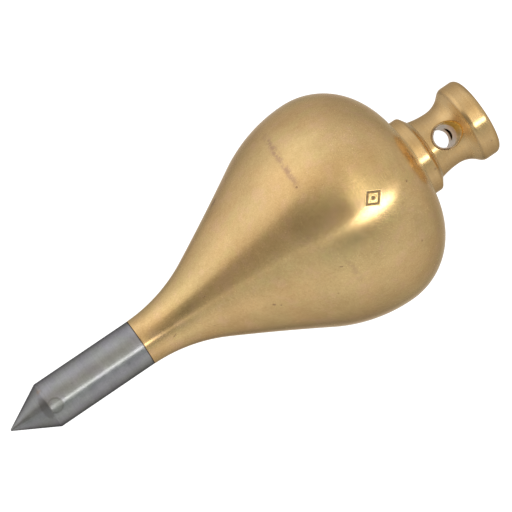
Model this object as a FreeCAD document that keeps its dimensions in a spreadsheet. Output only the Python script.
import FreeCAD, Part
import math
import os
import Sketcher

# Turned plumb bob: brass weight, brass cord cap screwed into its top, steel point screwed into its nose.
# The bob hangs along Z with the point down. The origin is the centre of the cap's top face, where the cord
# comes out, so every depth below is measured down from that face. All sizes are in millimetres.

doc = FreeCAD.newDocument("plumb_bob")
V = FreeCAD.Vector

# ---------------------------------------------------------------- driving dimensions
DIMS = [
    # overall
    ("TipDepth", 122.2, "cap's top face to the tip of the point"),
    ("SeatDepth", 18.4, "cap's top face to the seat of the cap on the weight"),
    ("JointDepth", 88.75, "cap's top face to the seat of the point on the nose"),
    # weight: outer profile, from the seat down to the nose, one radius and depth for each end of an arc
    ("LandRad", 9.5, "flat land that the cap seats on"),
    ("ShoulderRad", 19.882, "shoulder, lower end of its arc"),
    ("ShoulderDepth", 22.83, "shoulder, lower end of its arc"),
    ("BellyRad", 25.35, "largest radius of the weight"),
    ("BellyDepth", 34.977, "depth of the largest radius"),
    ("FlankRad", 20.622, "lower end of the belly arc"),
    ("FlankDepth", 52.406, "lower end of the belly arc"),
    ("WaistRad", 9.585, "lower end of the flank, upper end of the nose arc"),
    ("WaistDepth", 72.281, "lower end of the flank, upper end of the nose arc"),
    ("NoseRad", 5.45, "end of the nose, at the point"),
    ("NoseBreak", 0.1, "edge break at the end of the nose"),
    ("ShoulderArc", 17.844, "arc radius, seat to shoulder"),
    ("CrownArc", 16.225, "arc radius, shoulder to belly"),
    ("BellyArc", 34.486, "arc radius, belly to flank"),
    ("FlankArc", 496.328, "arc radius of the nearly straight flank"),
    ("NoseArc", 36.041, "arc radius of the concave nose"),
    # tapped holes of the weight, bored to the major diameter of their threads
    ("CapBoreRad", 5.02, "hole for the cap's stem"),
    ("CapBoreDeep", 13.0, "hole for the cap's stem, full diameter"),
    ("CapBoreMouth", 5.6, "countersunk mouth of that hole"),
    ("StudBoreRad", 3.02, "hole for the point's stud"),
    ("StudBoreDeep", 12.0, "hole for the point's stud, full diameter"),
    ("StudBoreMouth", 3.4, "countersunk mouth of that hole"),
    ("DrillCone", 59.0, "half angle of the drilled ends, in degrees"),
    # cap: outer profile
    ("HeadRad", 9.2, "head of the cap"),
    ("HeadEdge", 1.35, "rounding of the head's top edge"),
    ("HeadLower", 3.626, "depth where the head's cylinder ends"),
    ("LipArc", 1.8, "rounding between the head and its flare"),
    ("LipRad", 8.719, "lower end of that rounding"),
    ("LipDepth", 4.851, "lower end of that rounding"),
    ("FlareRad", 8.168, "upper end of the neck's cove"),
    ("FlareDepth", 5.441, "upper end of the neck's cove"),
    ("CoveArc", 6.026, "cove between the flare and the neck"),
    ("NeckRad", 6.558, "smallest radius of the neck"),
    ("NeckDepth", 9.542, "depth of the smallest radius"),
    ("NeckArc", 17.861, "long cove between the neck and the collar"),
    ("NeckFootRad", 7.185, "foot of the neck on the collar"),
    ("NeckFootDepth", 14.233, "foot of the neck on the collar"),
    ("CollarRad", 9.184, "collar that seats on the weight"),
    ("CollarTop", 15.653, "depth of the collar's upper corner"),
    ("CollarBreak", 0.3, "edge break of that corner"),
    ("CollarFoot", 0.15, "edge break at the seat"),
    # cap: holes
    ("CrossRad", 2.3, "cross hole through the neck"),
    ("CrossDepth", 9.7, "depth of the cross hole's axis"),
    ("CrossFlat", 3.9, "half length of the cross hole's straight middle"),
    ("CrossFlare", 18.3, "half angle of its two flared mouths, in degrees"),
    ("CrossEdge", 0.2, "rounding of the cross hole's two mouths"),
    ("CordRad", 1.5, "cord bore from the top face into the cross hole"),
    ("CordEdge", 0.2, "edge break of the cord bore"),
    # cap: stem, thread M10 x 1.5
    ("StemCore", 4.08, "root radius of the stem's thread"),
    ("StemCrest", 4.95, "crest radius of the stem's thread"),
    ("StemLong", 11.0, "stem below the seat"),
    ("StemRelief", 1.6, "width of the thread relief under the seat"),
    ("StemReliefRad", 3.95, "radius of the thread relief"),
    ("StemPitch", 1.5, "pitch of the stem's thread"),
    # point
    ("PointRad", 5.4, "cylinder of the point"),
    ("PointBreak", 0.1, "edge break at the point's seat"),
    ("ConeHalf", 28.9, "half angle of the point's cone, in degrees"),
    ("TipBall", 0.26, "rounding of the tip"),
    ("ConeEdge", 0.5, "rounding between cylinder and cone"),
    # point: stud, thread M6 x 1
    ("StudCore", 2.45, "root radius of the stud's thread"),
    ("StudCrest", 2.96, "crest radius of the stud's thread"),
    ("StudLong", 10.5, "stud above the seat"),
    ("StudRelief", 1.1, "width of the thread relief at the seat"),
    ("StudReliefRad", 2.35, "radius of the thread relief"),
    ("StudPitch", 1.0, "pitch of the stud's thread"),
]

sheet = doc.addObject("Spreadsheet::Sheet", "Dims")
for row, (alias, value, note) in enumerate(DIMS, start=1):
    sheet.set("A%d" % row, note)
    sheet.set("B%d" % row, repr(value))
    sheet.setAlias("B%d" % row, alias)
doc.recompute()
D = {alias: value for alias, value, note in DIMS}


def plane(body, role):
    return next(o for o in body.Origin.OriginFeatures if o.Role == role)


def new_sketch(body, name, role="XZ_Plane"):
    sk = body.newObject("Sketcher::SketchObject", name)
    sk.AttachmentSupport = [(plane(body, role), "")]
    sk.MapMode = "FlatFace"
    return sk


def ex(text):
    """Dimension names in an expression become references to the sheet."""
    for alias in sorted(D, key=len, reverse=True):
        text = text.replace("<%s>" % alias, "Dims.%s" % alias)
    return text


def val(text):
    """The same expression as a number, for the first guess of the sketch."""
    for alias in D:
        text = text.replace("<%s>" % alias, "(%r)" % D[alias])
    text = text.replace("tan(", "T_(").replace("sin(", "S_(").replace("cos(", "C_(")
    return number(text)


def number(text):
    """Small calculator for + - * / and T_ S_ C_ of degrees."""
    pos = [0]
    s = text.replace(" ", "")

    def atom():
        if s[pos[0]] == "-":
            pos[0] += 1
            return -atom()
        if s[pos[0]:pos[0] + 3] in ("T_(", "S_(", "C_("):
            which = s[pos[0]]
            pos[0] += 3
            v = math.radians(total())
            pos[0] += 1
            return {"T": math.tan, "S": math.sin, "C": math.cos}[which](v)
        if s[pos[0]] == "(":
            pos[0] += 1
            v = total()
            pos[0] += 1
            return v
        start = pos[0]
        while pos[0] < len(s) and (s[pos[0]].isdigit() or s[pos[0]] == "."):
            pos[0] += 1
        return float(s[start:pos[0]])

    def product():
        v = atom()
        while pos[0] < len(s) and s[pos[0]] in "*/":
            op = s[pos[0]]
            pos[0] += 1
            w = atom()
            v = v * w if op == "*" else v / w
        return v

    def total():
        v = product()
        while pos[0] < len(s) and s[pos[0]] in "+-":
            op = s[pos[0]]
            pos[0] += 1
            w = product()
            v = v + w if op == "+" else v - w
        return v

    return total()


def section(sk, chain):
    """Closed half section. Each entry is (radius, depth, link to the next entry): both places are expressions
    of the sheet, and the link is None for a line or (arc radius, bulge) for an arc, bulge +1 when the arc's
    centre lies to the left of the way from this point to the next."""
    pts = [V(val(r), -val(d), 0) for r, d, link in chain]
    n = len(chain)
    for i, (r, d, link) in enumerate(chain):
        a, b = pts[i], pts[(i + 1) % n]
        if link is None:
            sk.addGeometry(Part.LineSegment(a, b), False)
            continue
        rho = val(link[0])
        mid = (a + b) * 0.5
        half = (b - a).Length / 2.0
        along = (b - a).normalize()
        left = V(-along.y, along.x, 0)
        rise = math.sqrt(max(rho * rho - half * half, 0.0))
        centre = mid + left * (rise * link[1])
        bulge = (mid - centre).normalize() * rho
        sk.addGeometry(Part.Arc(a, centre + bulge, b), False)
    # which end of each edge is its start: an arc runs counterclockwise whatever order it was drawn in
    ends = []
    for i, (r, d, link) in enumerate(chain):
        ends.append((1, 2) if link is None or link[1] > 0 else (2, 1))
    for i in range(n):
        j = (i + 1) % n
        sk.addConstraint(Sketcher.Constraint("Coincident", i, ends[i][1], j, ends[j][0]))
    for i, (r, d, link) in enumerate(chain):
        s = ends[i][0]
        x, y = val(r), -val(d)
        if r == "0":
            sk.addConstraint(Sketcher.Constraint("PointOnObject", i, s, -2))
        else:
            c = sk.addConstraint(Sketcher.Constraint("DistanceX", -1, 1, i, s, x))
            sk.setExpression("Constraints[%d]" % c, ex(r))
        if d == "0":
            sk.addConstraint(Sketcher.Constraint("PointOnObject", i, s, -1))
        else:
            c = sk.addConstraint(Sketcher.Constraint("DistanceY", i, s, -1, 1, -y))
            sk.setExpression("Constraints[%d]" % c, ex(d))
        if link is not None:
            c = sk.addConstraint(Sketcher.Constraint("Radius", i, val(link[0])))
            sk.setExpression("Constraints[%d]" % c, ex(link[0]))


def turned(body, name, chain, kind="PartDesign::Revolution"):
    """A full turn of a half section about Z: stock for a Revolution, a cut for a Groove."""
    sk = new_sketch(body, name + "_section")
    section(sk, chain)
    doc.recompute()
    feat = body.newObject(kind, name)
    feat.Profile = sk
    feat.ReferenceAxis = (sk, ["V_Axis"])
    feat.Angle = 360.0
    doc.recompute()
    return feat


def screw(body, name, core, crest, low, high, pitch):
    """Helical thread ridge: a trapezoid with a flat crest, sunk a little into the core, swept up the helix."""
    sk = new_sketch(body, name + "_ridge")
    # half widths at the root and at the crest, for a 60 degree thread
    root = "<%s>*0.4375" % pitch
    top = "<%s>*0.0625" % pitch
    foot = "<%s>+<%s>*0.4375" % (pitch, pitch)
    mid = "%s-<%s>*0.5" % (low, pitch)
    section(sk, [
        ("<%s>-0.06" % core, "%s+%s" % (mid, root), None),
        ("<%s>-0.06" % core, "%s-%s" % (mid, root), None),
        ("<%s>" % crest, "%s-%s" % (mid, top), None),
        ("<%s>" % crest, "%s+%s" % (mid, top), None),
    ])
    doc.recompute()
    feat = body.newObject("PartDesign::AdditiveHelix", name)
    feat.Profile = sk
    feat.ReferenceAxis = (sk, ["V_Axis"])
    feat.Mode = 0
    feat.Pitch = D[pitch]
    feat.setExpression("Pitch", ex("<%s>" % pitch))
    feat.Height = val("%s-(%s)-<%s>" % (low, high, pitch))
    feat.setExpression("Height", ex("%s-(%s)-<%s>" % (low, high, pitch)))
    feat.Angle = 0
    feat.Growth = 0
    feat.LeftHanded = False
    feat.Reversed = False
    doc.recompute()
    return feat


def shown_volume(body):
    return body.Shape.Volume


def must_cut(body, before, what):
    if not body.Shape.Volume < before - 1e-3:
        raise SystemExit("%s cut nothing" % what)


# ---------------------------------------------------------------- body: the brass weight
weight = doc.addObject("PartDesign::Body", "body")
weight.Label = "body"
turned(weight, "weight_stock", [
    ("0", "<SeatDepth>", None),
    ("0", "<JointDepth>", None),
    ("<NoseRad>-<NoseBreak>", "<JointDepth>", None),
    ("<NoseRad>", "<JointDepth>-<NoseBreak>", ("<NoseArc>", -1)),
    ("<WaistRad>", "<WaistDepth>", ("<FlankArc>", -1)),
    ("<FlankRad>", "<FlankDepth>", ("<BellyArc>", 1)),
    ("<BellyRad>", "<BellyDepth>", ("<CrownArc>", 1)),
    ("<ShoulderRad>", "<ShoulderDepth>", ("<ShoulderArc>", 1)),
    ("<LandRad>", "<SeatDepth>", None),
])
before = shown_volume(weight)
turned(weight, "cap_hole", [
    ("0", "<SeatDepth>-1", None),
    ("0", "<SeatDepth>+<CapBoreDeep>+<CapBoreRad>/tan(<DrillCone>)", None),
    ("<CapBoreRad>", "<SeatDepth>+<CapBoreDeep>", None),
    ("<CapBoreRad>", "<SeatDepth>+<CapBoreMouth>-<CapBoreRad>", None),
    ("<CapBoreMouth>", "<SeatDepth>", None),
    ("<CapBoreMouth>", "<SeatDepth>-1", None),
], "PartDesign::Groove")
must_cut(weight, before, "cap_hole")
before = shown_volume(weight)
turned(weight, "stud_hole", [
    ("0", "<JointDepth>-<StudBoreDeep>-<StudBoreRad>/tan(<DrillCone>)", None),
    ("0", "<JointDepth>+1", None),
    ("<StudBoreMouth>", "<JointDepth>+1", None),
    ("<StudBoreMouth>", "<JointDepth>", None),
    ("<StudBoreRad>", "<JointDepth>-<StudBoreMouth>+<StudBoreRad>", None),
    ("<StudBoreRad>", "<JointDepth>-<StudBoreDeep>", None),
], "PartDesign::Groove")
must_cut(weight, before, "stud_hole")

# ---------------------------------------------------------------- cord_cap: head, neck, collar and stem in one
cap = doc.addObject("PartDesign::Body", "cord_cap")
cap.Label = "cord_cap"
turned(cap, "cap_stock", [
    ("0", "0", None),
    ("0", "<SeatDepth>+<StemLong>", None),
    ("<StemCore>-0.6", "<SeatDepth>+<StemLong>", None),
    ("<StemCore>", "<SeatDepth>+<StemLong>-0.6", None),
    ("<StemCore>", "<SeatDepth>+<StemRelief>", None),
    ("<StemReliefRad>", "<SeatDepth>+<StemRelief>-0.15", None),
    ("<StemReliefRad>", "<SeatDepth>", None),
    ("<CollarRad>-<CollarFoot>", "<SeatDepth>", None),
    ("<CollarRad>", "<SeatDepth>-<CollarFoot>", None),
    ("<CollarRad>", "<CollarTop>+<CollarBreak>", None),
    ("<CollarRad>-<CollarBreak>", "<CollarTop>-<CollarBreak>*0.35", None),
    ("<NeckFootRad>", "<NeckFootDepth>", ("<NeckArc>", -1)),
    ("<NeckRad>", "<NeckDepth>", ("<CoveArc>", -1)),
    ("<FlareRad>", "<FlareDepth>", None),
    ("<LipRad>", "<LipDepth>", ("<LipArc>", 1)),
    ("<HeadRad>", "<HeadLower>", None),
    ("<HeadRad>", "<HeadEdge>", ("<HeadEdge>", 1)),
    ("<HeadRad>-<HeadEdge>", "0", None),
])
screw(cap, "stem_thread", "StemCore", "StemCrest", "<SeatDepth>+<StemLong>-0.15",
      "<SeatDepth>+<StemRelief>-0.6", "StemPitch")
before = shown_volume(cap)
# lead-in cone on the first turn of the thread
turned(cap, "stem_lead", [
    ("<StemCore>-0.6", "<SeatDepth>+<StemLong>", None),
    ("<StemCore>-0.6", "<SeatDepth>+<StemLong>+1", None),
    ("<StemCrest>+1", "<SeatDepth>+<StemLong>+1", None),
    ("<StemCrest>+1", "<SeatDepth>+<StemLong>-<StemCrest>+<StemCore>-1.6", None),
], "PartDesign::Groove")
must_cut(cap, before, "stem_lead")

before = shown_volume(cap)
hole = new_sketch(cap, "cross_hole_circle")
hole.addGeometry(Part.Circle(V(0, -D["CrossDepth"], 0), V(0, 0, 1), D["CrossRad"]), False)
hole.addConstraint(Sketcher.Constraint("PointOnObject", 0, 3, -2))
c = hole.addConstraint(Sketcher.Constraint("DistanceY", 0, 3, -1, 1, D["CrossDepth"]))
hole.setExpression("Constraints[%d]" % c, "Dims.CrossDepth")
c = hole.addConstraint(Sketcher.Constraint("Radius", 0, D["CrossRad"]))
hole.setExpression("Constraints[%d]" % c, "Dims.CrossRad")
doc.recompute()
cross = cap.newObject("PartDesign::Pocket", "cross_hole")
cross.Profile = hole
cross.Type = "Length"
cross.Length = 40.0
cross.Midplane = True
doc.recompute()
must_cut(cap, before, "cross_hole")

# each half of the cross hole opens into a long flare, cut about the hole's own axis
last_cut = cross
for mouth, turn in (("cross_hole_back_flare", 0.0), ("cross_hole_front_flare", 180.0)):
    before = shown_volume(cap)
    sk = new_sketch(cap, mouth + "_section", "YZ_Plane")
    sk.AttachmentOffset = FreeCAD.Placement(V(0, -D["CrossDepth"], 0), FreeCAD.Rotation(V(0, 1, 0), turn))
    sk.setExpression("AttachmentOffset.Base.y", "-Dims.CrossDepth")
    section(sk, [
        ("<CrossFlat>", "0", None),
        ("<CrossFlat>", "<CrossRad>", None),
        ("<CrossFlat>+8", "<CrossRad>+8*tan(<CrossFlare>)", None),
        ("<CrossFlat>+8", "0", None),
    ])
    doc.recompute()
    last_cut = cap.newObject("PartDesign::Groove", mouth)
    last_cut.Profile = sk
    last_cut.ReferenceAxis = (sk, ["H_Axis"])
    last_cut.Angle = 360.0
    doc.recompute()
    must_cut(cap, before, mouth)

# the two mouths of the cross hole are rounded over; each mouth is three edges, one on the neck's short cove
# and two on its long cove, where the flare's seam meets it
saddles = []
for i, e in enumerate(cap.Tip.Shape.Edges, start=1):
    b = e.BoundBox
    outer = b.YMin > 5 or b.YMax < -5
    if outer and b.XMin > -3.6 and b.XMax < 3.6 and b.XLength > 2.5 and b.ZLength > 1 and -14 < b.ZMin and b.ZMax < -5.5:
        saddles.append("Edge%d" % i)
print("cross hole mouths:", saddles)
if len(saddles) != 6:
    raise SystemExit("the cross hole's mouths have %d edges, not 6" % len(saddles))
soft = cap.newObject("PartDesign::Fillet", "cross_hole_edges")
soft.Base = (cap.Tip if cap.Tip != soft else last_cut, saddles)
soft.Radius = D["CrossEdge"]
soft.setExpression("Radius", "Dims.CrossEdge")
doc.recompute()

before = shown_volume(cap)
turned(cap, "cord_bore", [
    ("0", "0-1", None),
    ("0", "<CrossDepth>", None),
    ("<CordRad>", "<CrossDepth>", None),
    ("<CordRad>", "<CordEdge>", None),
    ("<CordRad>+<CordEdge>", "0", None),
    ("<CordRad>+<CordEdge>", "0-1", None),
], "PartDesign::Groove")
must_cut(cap, before, "cord_bore")

# ---------------------------------------------------------------- steel_point: cone, cylinder and stud in one
point = doc.addObject("PartDesign::Body", "steel_point")
point.Label = "steel_point"
CONE_LONG = "(<PointRad>-<TipBall>/cos(<ConeHalf>))/tan(<ConeHalf>)+<TipBall>"
EDGE_RUN = "<ConeEdge>*tan(<ConeHalf>/2)"
turned(point, "point_stock", [
    ("0", "<JointDepth>-<StudLong>", None),
    ("0", "<TipDepth>", ("<TipBall>", 1)),
    ("<TipBall>*cos(<ConeHalf>)", "<TipDepth>-<TipBall>+<TipBall>*sin(<ConeHalf>)", None),
    ("<PointRad>-%s*sin(<ConeHalf>)" % EDGE_RUN, "<TipDepth>-(%s)+%s*cos(<ConeHalf>)" % (CONE_LONG, EDGE_RUN),
     ("<ConeEdge>", 1)),
    ("<PointRad>", "<TipDepth>-(%s)-%s" % (CONE_LONG, EDGE_RUN), None),
    ("<PointRad>", "<JointDepth>+<PointBreak>", None),
    ("<PointRad>-<PointBreak>", "<JointDepth>", None),
    ("<StudReliefRad>", "<JointDepth>", None),
    ("<StudReliefRad>", "<JointDepth>-<StudRelief>+0.1", None),
    ("<StudCore>", "<JointDepth>-<StudRelief>", None),
    ("<StudCore>", "<JointDepth>-<StudLong>+0.4", None),
    ("<StudCore>-0.4", "<JointDepth>-<StudLong>", None),
])
screw(point, "stud_thread", "StudCore", "StudCrest", "<JointDepth>-<StudRelief>+0.4",
      "<JointDepth>-<StudLong>+0.1", "StudPitch")
before = shown_volume(point)
turned(point, "stud_lead", [
    ("<StudCore>-0.4", "<JointDepth>-<StudLong>", None),
    ("<StudCrest>+1", "<JointDepth>-<StudLong>+<StudCrest>-<StudCore>+1.4", None),
    ("<StudCrest>+1", "<JointDepth>-<StudLong>-1", None),
    ("<StudCore>-0.4", "<JointDepth>-<StudLong>-1", None),
], "PartDesign::Groove")
must_cut(point, before, "stud_lead")

# ---------------------------------------------------------------- checks and output
doc.recompute()
PIECES = [weight, cap, point]
for obj in doc.Objects:
    if "Invalid" in obj.State or "Error" in obj.State:
        raise SystemExit("%s failed: %s" % (obj.Name, obj.State))
for piece in PIECES:
    shape = piece.Shape
    if shape.isNull() or not shape.isValid() or len(shape.Solids) != 1:
        raise SystemExit("%s is not one valid solid" % piece.Label)
    box = shape.BoundBox
    print("%-12s volume %10.1f mm3, faces %3d, z %8.3f to %8.3f, radius %.3f" % (
        piece.Label, shape.Volume, len(shape.Faces), box.ZMin, box.ZMax, box.XMax))

os.makedirs("parts", exist_ok=True)
for piece in PIECES:
    piece.Shape.exportStep("parts/%s.step" % piece.Label)
